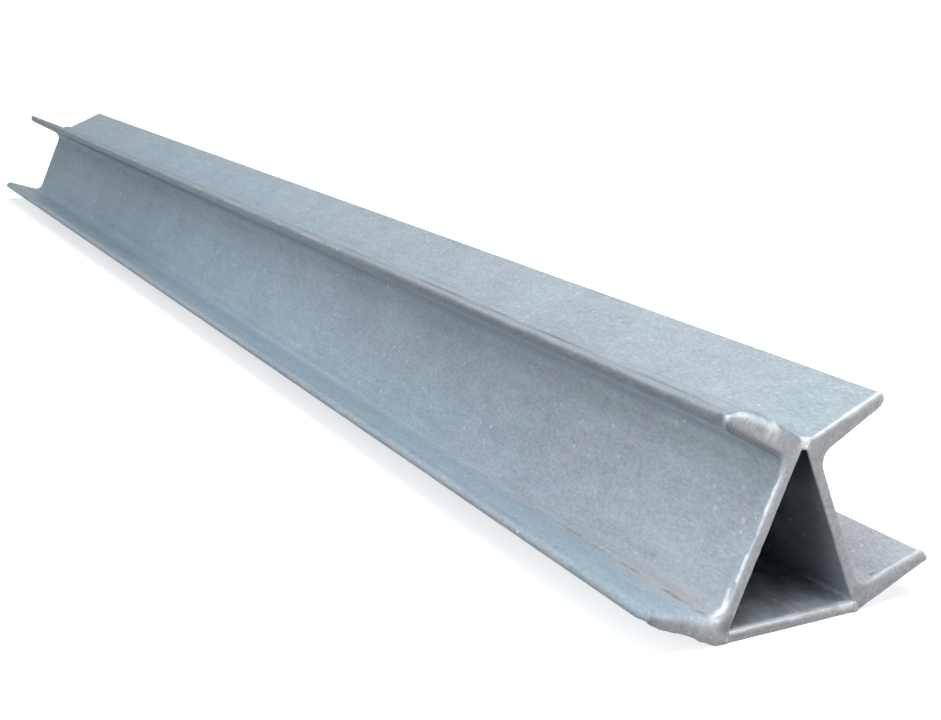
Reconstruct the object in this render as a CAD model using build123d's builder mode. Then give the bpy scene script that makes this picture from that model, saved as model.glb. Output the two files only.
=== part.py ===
from build123d import *

import math
import os

# A galvanised corner post: two hot-rolled channels, back to back and leaning together, with their
# webs welded heel to heel at the top and closed at the bottom by a flat bar.
# Millimetres. The post lies along Y on its closing bar: +X is to the right, +Z is up, and the origin
# is the middle of its footprint. The channels open outwards, to the left and to the right.

# The whole post
post_length = 1500.0
half_angle = 23.3  # how far each web leans from upright, in degrees
heel_gap = 1.0  # between the top heels, for the apex weld to run into

# The hot-rolled channel, 100 x 48 x 5.3, with tapered flanges
channel_depth = 100.0
flange_width = 48.0
web_thickness = 5.3
flange_thickness = 8.5  # measured half way along a flange, clear of the web
flange_slope = 1 / 10
root_radius = 8.5
toe_radius = 4.2
heel_radius = 1.0

# The flat bar that closes the backs
bar_thickness = 6.0

# The apex weld
bead_leg = 4.5  # how far the bead runs out over each top flange
bead_crown = 1.0  # how far its middle stands over a flat fill
bead_root = 3.0  # how far it runs down the backs of the webs
root_sag = 0.8  # how far its underside hangs below its edges

# What the sizes above give
lean = math.radians(half_angle)
apex_height = channel_depth * math.cos(lean)


def back_x(height):
    """How far the back of a web is from the middle plane, at a height above the ground."""
    return heel_gap / 2 + (apex_height - height) * math.tan(lean)


def on_back(drop):
    """The point on the right web's back that is a distance down it from the top heel."""
    height = apex_height - drop * math.cos(lean)
    return back_x(height), height


def on_flange(reach):
    """The point on the right top flange's outer face that is a distance out from the top heel."""
    return heel_gap / 2 + reach * math.cos(lean), apex_height + reach * math.sin(lean)


def mirrored(point):
    """The same point, on the left of the middle plane."""
    return -point[0], point[1]


# The right channel's section is drawn at its bottom heel, with x out along the flange and y up the
# web. Its lower half is drawn first, and mirrored about the middle of the web.
half_depth = channel_depth / 2
taper = flange_slope * (flange_width - web_thickness) / 2
heel = (0, 0)
toe = (flange_width, flange_thickness - taper)
root = (web_thickness, flange_thickness + taper)
section_plane = Plane(
    origin=(back_x(0), 0, 0),
    x_dir=(math.cos(lean), 0, math.sin(lean)),
    z_dir=(0, -1, 0),
)

with BuildPart() as right_channel:
    with BuildSketch(section_plane) as channel_section:
        with BuildLine():
            Polyline(
                (0, half_depth),
                heel,
                (flange_width, 0),
                toe,
                root,
                (web_thickness, half_depth),
                close=True,
            )
        make_face()
        for corner, radius in ((heel, heel_radius), (toe, toe_radius), (root, root_radius)):
            fillet(channel_section.vertices().sort_by_distance(corner)[0], radius)
        mirror(about=Plane.XZ.offset(-half_depth))
    extrude(amount=post_length / 2, both=True)
right_channel.part.label = "right_channel"

with BuildPart() as left_channel:
    mirror(right_channel.part, about=Plane.YZ)
left_channel.part.label = "left_channel"

# The closing bar lies on the ground between the bottom heels, and its top corners meet the webs
bar_half_width = back_x(bar_thickness)

with BuildPart() as closing_bar:
    with BuildSketch(Plane.XZ) as bar_section:
        Rectangle(2 * bar_half_width, bar_thickness, align=(Align.CENTER, Align.MIN))
    extrude(amount=post_length / 2, both=True)
closing_bar.part.label = "closing_bar"

# The apex weld fills the valley between the top flanges, runs down between the heels and hangs a
# little inside. It is cut back by both channels, so it fits the rounding of their heels.
valley_top = on_flange(bead_leg)
root_edge = on_back(bead_root)

with BuildPart() as apex_weld:
    with BuildSketch(Plane.XZ) as apex_section:
        with BuildLine():
            ThreePointArc(mirrored(valley_top), (0, valley_top[1] + bead_crown), valley_top)
            Line(valley_top, root_edge)
            ThreePointArc(root_edge, (0, root_edge[1] - root_sag), mirrored(root_edge))
            Line(mirrored(root_edge), mirrored(valley_top))
        make_face()
    extrude(amount=post_length / 2, both=True)
    add(right_channel.part, mode=Mode.SUBTRACT)
    add(left_channel.part, mode=Mode.SUBTRACT)
apex_weld.part.label = "apex_weld"

# A seam weld fills the groove between the bar's side and a web's back, flush with the bar's face. It
# takes the rounded heel with it, and is cut back by the channel.
heel_end = (back_x(0) + heel_radius * math.cos(lean), heel_radius * math.sin(lean))

with BuildPart() as right_seam_weld:
    with BuildSketch(Plane.XZ) as seam_section:
        with BuildLine():
            Polyline(
                (bar_half_width, 0),
                (back_x(0), 0),
                heel_end,
                (bar_half_width, bar_thickness),
                close=True,
            )
        make_face()
    extrude(amount=post_length / 2, both=True)
    add(right_channel.part, mode=Mode.SUBTRACT)
right_seam_weld.part.label = "right_seam_weld"

with BuildPart() as left_seam_weld:
    mirror(right_seam_weld.part, about=Plane.YZ)
left_seam_weld.part.label = "left_seam_weld"

os.makedirs("parts", exist_ok=True)
for piece in (right_channel, left_channel, closing_bar, apex_weld, right_seam_weld, left_seam_weld):
    export_step(piece.part, f"parts/{piece.part.label}.step")
    print(piece.part.label, round(piece.part.volume), piece.part.bounding_box())
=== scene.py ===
"""The looks of a galvanised steel corner post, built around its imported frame.

Everything is in metres, in the frame's own axes: the post lies along Y on its closing bar, its near end
is at -Y, its welded apex is on top, and its two channels open to the left and to the right.
"""

import logging
import math
from collections.abc import Callable
from dataclasses import dataclass, field
from enum import Enum

import bpy
import numpy as np
from mathutils import Matrix, Vector
from mathutils.geometry import delaunay_2d_cdt


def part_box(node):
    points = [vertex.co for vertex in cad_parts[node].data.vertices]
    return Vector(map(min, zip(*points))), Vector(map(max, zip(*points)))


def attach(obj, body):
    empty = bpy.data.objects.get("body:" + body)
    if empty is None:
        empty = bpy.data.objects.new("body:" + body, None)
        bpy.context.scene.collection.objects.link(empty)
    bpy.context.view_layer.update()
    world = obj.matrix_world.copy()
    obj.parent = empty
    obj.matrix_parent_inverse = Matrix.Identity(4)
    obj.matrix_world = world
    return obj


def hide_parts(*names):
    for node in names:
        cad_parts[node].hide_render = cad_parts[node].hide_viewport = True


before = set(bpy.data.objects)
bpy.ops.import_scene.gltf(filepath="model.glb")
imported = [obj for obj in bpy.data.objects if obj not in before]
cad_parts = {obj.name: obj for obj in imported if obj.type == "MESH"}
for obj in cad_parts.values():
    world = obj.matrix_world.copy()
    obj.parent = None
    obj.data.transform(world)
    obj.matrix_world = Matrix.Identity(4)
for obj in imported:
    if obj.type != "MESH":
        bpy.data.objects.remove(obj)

LOG = logging.getLogger("corner_post")
MM = 0.001
BODY = "root"
INTO = np.array([0.0, 1.0, 0.0])  # the direction in from the near end
PALE_GAIN = 0.6  # how much lighter than the plain coat the strongest painted light makes it
Colour = tuple[float, float, float]


class Side(Enum):
    """Which half of the post a piece belongs to."""

    RIGHT = 1
    LEFT = -1


class Slot(Enum):
    """The record's material slots."""

    STEEL = "galvanised_steel"
    WELD = "weld_metal"


class Layer(Enum):
    """The values that a mesh carries for its finish, named as the attributes that hold them."""

    # Lighter, smoother zinc, partly a painted highlight.
    SHINE = "shine"
    STAIN = "stain"
    # Dark marks, and painted shade.
    DARK_MARKS_AND_SHADE = "dark_marks_and_shade"
    CUT = "cut"
    # Blue tint, partly a painted reflection of the sky.
    BLUE = "blue"
    WARM = "warm"
    # pale and dim carry painted light and painted shade.
    PALE = "pale"
    DIM = "dim"
    ACROSS = "across"
    BEAD = "bead"
    PIMPLES = "pimples"


@dataclass(frozen=True)
class Section:
    """The post's section: its rolled channels, how they lean together, and the bar that closes them."""

    depth: float = 100 * MM
    flange: float = 48 * MM
    web: float = 5.3 * MM
    flange_thickness: float = 8.5 * MM
    slope: float = 0.1
    root_radius: float = 8.5 * MM
    toe_radius: float = 4.2 * MM
    heel_radius: float = 1.0 * MM
    edge_radius: float = 1.1 * MM
    lean: float = math.radians(23.3)
    heel_gap: float = 1.0 * MM
    bar_thickness: float = 6.0 * MM

    @property
    def apex_height(self) -> float:
        """Height of the top heels above the ground."""
        return self.depth * math.cos(self.lean)

    def flange_face(self, out: np.ndarray) -> np.ndarray:
        """How high the bottom flange's inner face is.

        Args:
            out: Distances out from the back of the web.

        Returns:
            The face's distance up the web from the bottom heel, without the root's rounding.
        """
        return self.flange_thickness + self.slope * ((self.flange + self.web) / 2 - out)

    def back_x(self, height: float) -> float:
        """How far the back of a web is from the middle plane.

        Args:
            height: Height above the ground.

        Returns:
            The distance from the middle plane.
        """
        return self.heel_gap / 2 + (self.apex_height - height) * math.tan(self.lean)

    def place(self, out: np.ndarray, rise: np.ndarray, side: Side) -> tuple[np.ndarray, np.ndarray]:
        """Puts points of a channel's own section into the frame.

        Args:
            out: Distances out from the back of the web, along the flange.
            rise: Distances up the web from its bottom heel.
            side: The channel's side.

        Returns:
            The points' x and z in the frame.
        """
        c, s = math.cos(self.lean), math.sin(self.lean)
        return side.value * (self.back_x(0.0) + out * c - rise * s), out * s + rise * c

    def unplace(self, x: np.ndarray, z: np.ndarray, side: Side) -> tuple[np.ndarray, np.ndarray]:
        """Takes points of the frame back to a channel's own section.

        Args:
            x: The points' x in the frame.
            z: The points' z in the frame.
            side: The channel's side.

        Returns:
            Distances out along the flange and up the web.
        """
        c, s = math.cos(self.lean), math.sin(self.lean)
        across = side.value * x - self.back_x(0.0)
        return across * c + z * s, z * c - across * s


SECTION = Section()


class SmoothNoise:
    """Smooth random values in space, the same on every run."""

    def __init__(self, seed: int) -> None:
        """Fills the table of values.

        Args:
            seed: Picks the pattern.
        """
        self.values = np.random.default_rng(seed).random(4096) * 2 - 1

    def _corner(self, cell: np.ndarray) -> np.ndarray:
        """The random value at each lattice corner.

        Args:
            cell: Whole-number corners, one in each row.

        Returns:
            One value from -1 to 1 for each row.
        """
        key = cell[:, 0] * 73856093 ^ cell[:, 1] * 19349663 ^ cell[:, 2] * 83492791
        return self.values[key & 4095]

    def at(self, points: np.ndarray, size: float) -> np.ndarray:
        """Values at some points.

        Args:
            points: One point in each row.
            size: How far apart the lattice corners are.

        Returns:
            One value from -1 to 1 for each point.
        """
        scaled = points / size
        cell = np.floor(scaled).astype(np.int64)
        t = scaled - cell
        t = t * t * (3 - 2 * t)
        total = np.zeros(len(points))
        for step in np.ndindex(2, 2, 2):
            weight = np.prod(np.where(np.array(step) == 1, t, 1 - t), axis=1)
            total += weight * self._corner(cell + np.array(step))
        return total


def fade(value: np.ndarray, start: float, end: float) -> np.ndarray:
    """A smooth step.

    Args:
        value: What it depends on.
        start: Where the result is 0.
        end: Where the result is 1. It may be the lower of the two.

    Returns:
        Values from 0 to 1.
    """
    t = np.clip((value - start) / (end - start), 0, 1)
    return t * t * (3 - 2 * t)


@dataclass(frozen=True)
class Corner:
    """A corner of an outline and the radius that rounds it."""

    x: float
    y: float
    radius: float


def rounded_outline(corners: list[Corner], step: float, arc_steps: int = 6) -> np.ndarray:
    """Rounds the corners of a closed outline and divides its straight runs.

    Each arc has a point a little way along the straight run at both its ends, which keeps the shading
    of the flat beside it flat.

    Args:
        corners: The corners, in order.
        step: The longest piece of a straight run.
        arc_steps: The pieces of each arc.

    Returns:
        The outline's points, one in each row, without the first one again.
    """
    hold = 0.25 * MM
    points: list[np.ndarray] = []
    ends: list[int] = []
    for i, corner in enumerate(corners):
        here = np.array([corner.x, corner.y])
        before = np.array([corners[i - 1].x, corners[i - 1].y]) - here
        after = np.array([corners[(i + 1) % len(corners)].x, corners[(i + 1) % len(corners)].y]) - here
        before, after = before / np.linalg.norm(before), after / np.linalg.norm(after)
        half = math.acos(float(np.clip(before @ after, -1, 1))) / 2
        reach = corner.radius / math.tan(half)
        centre = here + (before + after) / np.linalg.norm(before + after) * corner.radius / math.sin(half)
        start, end = here + before * reach - centre, here + after * reach - centre
        turn = math.atan2(start[0] * end[1] - start[1] * end[0], start @ end)
        points.append(centre + start + before * hold)
        for k in range(arc_steps + 1):
            angle = turn * k / arc_steps
            c, s = math.cos(angle), math.sin(angle)
            points.append(centre + np.array([start[0] * c - start[1] * s, start[0] * s + start[1] * c]))
        points.append(centre + end + after * hold)
        ends.append(len(points) - 1)
    outline: list[np.ndarray] = []
    for i, point in enumerate(points):
        outline.append(point)
        if i in ends:
            run = points[(i + 1) % len(points)] - point
            pieces = max(1, math.ceil(float(np.linalg.norm(run)) / step))
            outline.extend(point + run * k / pieces for k in range(1, pieces))
    return np.array(outline)


def outline_normals(outline: np.ndarray) -> np.ndarray:
    """Outward normals of a counter-clockwise outline.

    Args:
        outline: The outline's points.

    Returns:
        One unit normal for each point.
    """
    tangent = np.roll(outline, -1, axis=0) - outline
    tangent /= np.linalg.norm(tangent, axis=1)[:, None]
    both = tangent + np.roll(tangent, 1, axis=0)
    normal = np.stack([both[:, 1], -both[:, 0]], axis=1)
    return normal / np.linalg.norm(normal, axis=1)[:, None]


@dataclass(frozen=True)
class Spots:
    """Where a piece's points start in its own section, in millimetres.

    Fields:
        out: How far they are across the section, or out along a channel's flange.
        rise: How far they are up the section, or up a channel's web.
        inward: How far they are from the near end.
    """

    out: np.ndarray
    rise: np.ndarray
    inward: np.ndarray


@dataclass
class Grid:
    """A piece's points before it becomes a mesh.

    Fields:
        points: The points in the frame.
        normals: The points' outward normals.
        sides: The outward normals of the section alone, and nothing on the end faces.
        faces: The faces, by point numbers.
        rim: How far each point is from the nearest end edge.
        inward: How far each point is from the near end.
        spots: Where the points start in the piece's own section.
        layers: The points' values for the finish.
    """

    points: np.ndarray
    normals: np.ndarray
    sides: np.ndarray
    faces: list[tuple[int, ...]]
    rim: np.ndarray
    inward: np.ndarray
    spots: Spots = field(init=False)
    layers: dict[Layer, np.ndarray] = field(init=False)

    def measure(self, out: np.ndarray, rise: np.ndarray) -> None:
        """Notes where the points start, and gives each a blank set of values.

        Args:
            out: How far they are across the section.
            rise: How far they are up it.
        """
        self.spots = Spots(out / MM, rise / MM, self.inward / MM)
        self.layers = {layer: np.zeros(len(out)) for layer in Layer}

    def move(self, heights: np.ndarray, along: np.ndarray | None = None) -> None:
        """Moves the points.

        Args:
            heights: How far each point goes.
            along: One direction for each point, or one for all. Without it, each goes along its normal.
        """
        direction = self.normals if along is None else along
        self.points = self.points + direction * heights[:, None]

    def keep_in(self, low: Vector, high: Vector) -> None:
        """Holds the points inside a box.

        Args:
            low: The box's lowest corner.
            high: The box's highest corner.
        """
        inset = 0.01 * MM
        self.points = np.clip(self.points, np.array(low) + inset, np.array(high) - inset)

    def to_object(self, name: str) -> bpy.types.Object:
        """Makes the mesh and its object, in place, with the layers as named attributes.

        Args:
            name: The object's name.

        Returns:
            The new object.
        """
        mesh = bpy.data.meshes.new(name)
        mesh.from_pydata(self.points.tolist(), [], self.faces)
        mesh.update()
        mesh.shade_smooth()
        for layer, values in self.layers.items():
            attribute = mesh.attributes.new(layer.value, "FLOAT", "POINT")
            attribute.data.foreach_set("value", np.clip(values, 0, 1).astype(np.float32))
        piece = bpy.data.objects.new(name, mesh)
        bpy.context.scene.collection.objects.link(piece)
        return piece


def stations(length: float, fine: float, coarse: float, dense: float) -> np.ndarray:
    """Where a long piece's rings stand: close together at its ends, and further apart between them.

    Args:
        length: From the first ring to the last.
        fine: The spacing at the ends.
        coarse: The spacing in the middle.
        dense: How far from each end the fine spacing goes.

    Returns:
        The rings' places, as shares of the length.
    """
    growth = 0.12 / MM
    places = [0.0]
    while places[-1] < length / 2:
        wider = fine * (1 + max(0.0, places[-1] - dense) * growth)
        places.append(places[-1] + min(coarse, wider))
    half = np.array(places) / places[-1] / 2
    return np.concatenate([half, 1 - half[-2::-1]])


def cap_faces(ring: np.ndarray, spacing: float) -> tuple[np.ndarray, list[tuple[int, ...]]]:
    """Fills a closed ring with small triangles.

    Args:
        ring: The ring's points, counter-clockwise.
        spacing: How far apart the points inside it are.

    Returns:
        The inner points, and the faces, whose numbers count the ring's points first.
    """
    low, high = ring.min(axis=0), ring.max(axis=0)
    rows = np.arange(low[1], high[1], spacing * math.sqrt(3) / 2)
    inner = np.array([(x, row) for i, row in enumerate(rows)
                      for x in np.arange(low[0] + (i % 2) * spacing / 2, high[0], spacing)])
    crossings = np.zeros(len(inner), dtype=int)
    nearest = np.full(len(inner), np.inf)
    for a, b in zip(ring, np.roll(ring, -1, axis=0)):
        if a[1] != b[1]:
            straddles = (a[1] > inner[:, 1]) != (b[1] > inner[:, 1])
            where = a[0] + (inner[:, 1] - a[1]) * (b[0] - a[0]) / (b[1] - a[1])
            crossings += straddles & (inner[:, 0] < where)
        run = b - a
        t = np.clip(((inner - a) @ run) / (run @ run), 0, 1)
        nearest = np.minimum(nearest, np.linalg.norm(inner - (a + t[:, None] * run), axis=1))
    inner = inner[(crossings % 2 == 1) & (nearest > spacing * 0.5)].reshape(-1, 2)
    everything = [Vector(p) for p in np.concatenate([ring, inner])]
    edges = [(i, (i + 1) % len(ring)) for i in range(len(ring))]
    made = delaunay_2d_cdt(everything, edges, [], 1, 1e-9)
    original = [numbers[0] for numbers in made[3]]
    return inner, [tuple(original[v] for v in face) for face in made[2]]


def long_piece(outline: np.ndarray, near: float, far: float, rounding: float, shares: np.ndarray,
               cap_spacing: float) -> Grid:
    """Draws an outline out along Y, rounds its two end edges and closes its ends.

    Args:
        outline: The section, counter-clockwise as seen from the near end.
        near: The near end's Y.
        far: The far end's Y.
        rounding: The radius of the end edges.
        shares: Where the rings between the roundings stand, as shares of the way.
        cap_spacing: How far apart the points on the end faces are.

    Returns:
        The piece's points and faces.
    """
    side = outline_normals(outline)
    count = len(outline)
    turns = [math.radians(a) for a in (90, 60, 30)]
    bends = [(rounding * (1 - math.sin(a)), rounding * (1 - math.cos(a)), math.sin(a)) for a in turns]
    rings = [(near + back, inset, -tip) for back, inset, tip in bends]
    rings.extend((float(y), 0.0, 0.0) for y in near + rounding + (far - near - 2 * rounding) * shares)
    rings.extend((far - back, inset, tip) for back, inset, tip in reversed(bends))
    points, normals, sides, rim = [], [], [], []
    for y, inset, tip in rings:
        flat = outline - side * inset
        points.append(np.column_stack([flat[:, 0], np.full(count, y), flat[:, 1]]))
        sides.append(np.column_stack([side[:, 0], np.zeros(count), side[:, 1]]))
        normals.append(sides[-1] * math.sqrt(1 - tip * tip) + np.array([0, tip, 0]))
        rim.append(np.full(count, min(y - near, far - y)))
    faces: list[tuple[int, ...]] = []
    for i in range(len(rings) - 1):
        for j in range(count):
            k = (j + 1) % count
            faces.append((i * count + j, (i + 1) * count + j, (i + 1) * count + k, i * count + k))
    ring = outline - side * rounding
    inner, inside = cap_faces(ring, cap_spacing)
    to_edge = np.array([np.linalg.norm(ring - p, axis=1).min() for p in inner]) + rounding
    total = len(rings) * count
    for end, y, tip in ((0, near, -1.0), (1, far, 1.0)):
        first = 0 if end == 0 else (len(rings) - 1) * count
        base = total + end * len(inner)
        for face in inside:
            numbers = tuple(first + v if v < count else base + v - count for v in face)
            faces.append(numbers if end == 0 else numbers[::-1])
        points.append(np.column_stack([inner[:, 0], np.full(len(inner), y), inner[:, 1]]))
        normals.append(np.tile([0.0, tip, 0.0], (len(inner), 1)))
        sides.append(np.zeros((len(inner), 3)))
        rim.append(to_edge)
    joined = np.concatenate(points)
    return Grid(joined, np.concatenate(normals), np.concatenate(sides), faces, np.concatenate(rim),
                joined[:, 1] - near)


@dataclass(frozen=True)
class ZincRun:
    """A run, lip, lump or mark along a short line of a piece's own section, in millimetres.

    Fields:
        start: Where it begins: across the section, up it, and in from the near end.
        end: Where it ends, the same way.
        radius: How wide it is.
        height: How far it stands out. Below 0 it is a dent.
        shine: How much it brightens the zinc, as smoother fresh zinc and partly as a painted highlight.
        stain: How brown it is.
        dark_marks_and_shade: How dark it is.
        unevenness: How much its height and its marks vary along it.
    """

    start: tuple[float, float, float]
    end: tuple[float, float, float]
    radius: float
    height: float = 0.0
    shine: float = 0.0
    stain: float = 0.0
    dark_marks_and_shade: float = 0.0
    unevenness: float = 0.3

    def shape(self, spots: Spots, noise: SmoothNoise) -> np.ndarray:
        """How strong the run is at each point.

        Args:
            spots: The points.
            noise: Makes it uneven.

        Returns:
            One value for each point, about 1 on the line.
        """
        places = np.column_stack([spots.out, spots.rise, spots.inward])
        from_start, line = places - np.array(self.start), np.array(self.end) - np.array(self.start)
        squared = float(line @ line)
        along = np.clip(from_start @ line / squared, 0, 1) if squared > 0 else np.zeros(len(places))
        away = ((from_start - along[:, None] * line) ** 2).sum(axis=1)
        wave = noise.at(places, 2.4 * self.radius)
        return np.exp(-away / (2 * self.radius**2)) * (1 + self.unevenness * wave)


@dataclass(frozen=True)
class PaintedShading:
    """Painted light and shade over a channel: how much lighter or darker its coat is painted to stand for the
    light on each part. 1 is the plain coat.

    Fields:
        places: Distances from the near end, in millimetres.
        upper: The upper web's lightness at each.
        lower: The lower web's lightness at each.
        crown: The top flange's outer face.
        toe_near: The face of the top flange's toe, in the near third.
        toe_far: The same, further off.
        root: The rounding between the web and the bottom flange.
        root_middle: How much more of that there is about the middle of the post.
        ledge: The bottom flange's inner face.
        edge: The bottom flange's toe.
        rims: The lower edge of that toe. Its upper edge changes half as much, and not at the near end.
        far: All of it at the far end.
    """

    places: tuple[float, ...] = (0.0, 1500.0)
    upper: tuple[float, ...] = (1.0, 1.0)
    lower: tuple[float, ...] = (1.0, 1.0)
    crown: float = 1.0
    toe_near: float = 0.85
    toe_far: float = 0.85
    root: float = 1.0
    root_middle: float = 0.0
    ledge: float = 1.0
    edge: float = 0.95
    rims: float = 0.95
    far: float = 1.0

    def lightness(self, spots: Spots) -> np.ndarray:
        """How light the coat is at each point of a channel.

        Args:
            spots: The points.

        Returns:
            One factor for each point.
        """
        s, q, d = spots.out, spots.rise, spots.inward
        low_web = fade(q, 62, 45)
        upper, lower = np.interp(d, self.places, self.upper), np.interp(d, self.places, self.lower)
        web_face = fade(s, 9, 6) * (s > 5)
        top_face = fade(q, 99.2, 99.8) * fade(d, 3, 9)
        toe = self.toe_near + (self.toe_far - self.toe_near) * fade(d, 280, 480)
        toe_face = fade(s, 45, 47) * fade(q, 100.2, 98.6) * fade(q, 93.4, 95.2) * fade(d, 1, 5)
        inner = fade(q, 20, 16) * fade(q, 3, 4)
        root = self.root + self.root_middle * np.exp(-(((d - 570) / 260) ** 2))
        root_face = inner * np.exp(-(((s - 12) / np.where(s < 12, 3.5, 8)) ** 2))
        bottom_toe = fade(s, 43.5, 46) * fade(q, 12, 8)
        rims = fade(q, 2.8, 1.4) + 0.5 * fade(q, 4.2, 5.2) * fade(d, 20, 120)
        result = np.ones(len(s))
        # Painted light and shade: the web shaded under the top flange, faces and toes lighter or darker as
        # they meet the light, and a darker far end.
        for light, where in (
            (upper * (1 - low_web) + lower * low_web, web_face),
            (self.crown, top_face),
            (toe, toe_face),
            (root, root_face),
            (self.ledge, inner * fade(s, 7, 13)),
            (self.edge, bottom_toe),
            (self.rims, bottom_toe * rims),
            (self.far, fade(d, 700, 1100)),
        ):
            result *= 1 + (light - 1) * where
        return result


@dataclass(frozen=True)
class EndRoll:
    """Zinc that set in a roll along the end edge of the top flange's outer face, in millimetres.

    Fields:
        top: How high the flange's outer face is up the web.
        reaches: Places along the flange, from the back of the web.
        crests: The roll's height at each.
        depth: How far in from the end it goes.
        foot: How far down the end face it still pulls the face up.
        brow: How far over the flange's face the end stays flat. Past it, the roll curves back.
        curl: How strongly it curves back.
        hem: How high the end face's shaded lower strip would reach at the back of the web.
        hem_slope: How fast it rises toward the toe.
    """

    top: float
    reaches: tuple[float, ...]
    crests: tuple[float, ...]
    depth: float
    foot: float
    brow: float
    curl: float = 0.11
    hem: float = 91.2125
    hem_slope: float = 0.125

    def lift(self, spots: Spots) -> np.ndarray:
        """How far the roll raises each point of a channel.

        Args:
            spots: The points.

        Returns:
            One height for each point.
        """
        crest = np.interp(spots.out, self.reaches, self.crests)
        back = fade(spots.inward, self.depth, 0.35 * self.depth)
        return crest * back * fade(spots.rise, self.top - self.foot, self.top)

    def lean(self, spots: Spots, lift: np.ndarray) -> np.ndarray:
        """How far back the roll's front curves.

        Args:
            spots: The points.
            lift: How far each was raised.

        Returns:
            One distance for each point.
        """
        over = np.maximum(spots.rise + lift - self.top - self.brow, 0)
        return self.curl * over**2 * fade(spots.inward, self.depth, 0)

    def shaded(self, spots: Spots, lift: np.ndarray) -> np.ndarray:
        """Finds the shaded strip along the bottom of the top flange's end face.

        Args:
            spots: The points.
            lift: How far each was raised.

        Returns:
            A value from 0 to 1 for each point.
        """
        height = spots.rise + lift
        hem = self.hem + self.hem_slope * spots.out
        on_flange = fade(spots.out, 7, 13) * (height > self.top - 20)
        return fade(height, hem + 1.0, hem - 1.0) * on_flange


@dataclass(frozen=True)
class EndWear:
    """A worn, rounded edge between the bottom flange's inner face and its end, in millimetres.

    Fields:
        depth: How far in from the end the wear starts.
        foot: How much of the end face is left flat.
        start: Where it starts along the flange.
        full: Where it is at its full size.
        shade: How much darker the end face is there.
    """

    depth: float
    foot: float
    start: float
    full: float
    shade: float

    def shift(self, spots: Spots, section: Section) -> tuple[np.ndarray, np.ndarray]:
        """How far the wear moves each point of a channel.

        Args:
            spots: The points.
            section: The channel's section.

        Returns:
            The distances inward, and the distances up the web.
        """
        face = section.flange_face(spots.out * MM) / MM
        turn = np.clip((spots.rise - self.foot) / (face - self.foot), 0, 1) * math.pi / 2
        share = fade(spots.out, self.start, self.full) * (spots.rise < section.depth / 2 / MM)
        share = share * fade(spots.inward, 3 * self.depth, 0)
        rounded = self.foot + (face - self.foot) * np.sin(turn)
        up = np.where(spots.rise > self.foot, np.maximum(rounded - spots.rise, 0), 0)
        return self.depth * (1 - np.cos(turn)) * share, up * share


class NodeSketch:
    """Wires nodes in one tree."""

    def __init__(self, tree: bpy.types.NodeTree) -> None:
        """Takes the tree to work in.

        Args:
            tree: A shader or geometry node tree.
        """
        self.tree = tree
        self.column = 0

    def node(self, kind: str, settings: dict[str, object] | None = None,
             inputs: dict[str | int, object] | None = None) -> bpy.types.Node:
        """Adds a node.

        Args:
            kind: The node's type name.
            settings: Its properties.
            inputs: Values or output sockets for its inputs, by name or number.

        Returns:
            The new node.
        """
        made = self.tree.nodes.new(kind)
        made.location = (self.column * 180, 0)
        self.column += 1
        for key, value in (settings or {}).items():
            setattr(made, key, value)
        for key, value in (inputs or {}).items():
            socket = made.inputs[key]
            if isinstance(value, bpy.types.NodeSocket):
                self.tree.links.new(value, socket)
            else:
                socket.default_value = value
        return made

    def math(self, operation: str, first: object, second: object = 0.0) -> bpy.types.NodeSocket:
        """Adds a Math node.

        Args:
            operation: What it works out.
            first: Its first value or socket.
            second: Its second value or socket.

        Returns:
            The result's socket.
        """
        return self.node("ShaderNodeMath", {"operation": operation}, {0: first, 1: second}).outputs[0]

    def ramp(self, value: bpy.types.NodeSocket, low: float, high: float, start: float = 0.0,
             end: float = 1.0) -> bpy.types.NodeSocket:
        """Maps a range of values to another, held at its ends.

        Args:
            value: The socket to map.
            low: The value that gives start.
            high: The value that gives end.
            start: The result at low.
            end: The result at high.

        Returns:
            The result's socket.
        """
        made = self.node("ShaderNodeMapRange", {"clamp": True}, {0: value, 1: low, 2: high, 3: start, 4: end})
        return made.outputs[0]

    def blend(self, share: object, first: object, second: object, mode: str = "MIX") -> bpy.types.NodeSocket:
        """Adds a Mix node for colours.

        Args:
            share: How much of the second colour shows.
            first: The first colour or socket.
            second: The second colour or socket.
            mode: How the two are blended.

        Returns:
            The result's socket.
        """
        made = self.node("ShaderNodeMix", {"data_type": "RGBA", "blend_type": mode},
                         {0: share, 6: first, 7: second})
        return made.outputs[2]

    def noise(self, vector: bpy.types.NodeSocket, size: object, detail: float = 3.0,
              roughness: float = 0.55) -> bpy.types.NodeSocket:
        """Adds a Noise Texture whose blobs are about one size.

        Args:
            vector: Where it is read.
            size: The blobs' size, or a socket that gives it.
            detail: How much finer noise is in it.
            roughness: How strong the finer noise is.

        Returns:
            The noise's value, from 0 to 1.
        """
        scale = self.math("DIVIDE", 1.0, size)
        made = self.node("ShaderNodeTexNoise", {}, {"Vector": vector, "Scale": scale, "Detail": detail,
                                                    "Roughness": roughness})
        return made.outputs["Fac"]

    def moved(self, vector: bpy.types.NodeSocket, shift: Colour) -> bpy.types.NodeSocket:
        """Moves the place where a texture is read, so that two like textures differ.

        Args:
            vector: The place.
            shift: How far to move it.

        Returns:
            The moved place.
        """
        return self.node("ShaderNodeVectorMath", {"operation": "ADD"}, {0: vector, 1: shift}).outputs[0]


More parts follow.
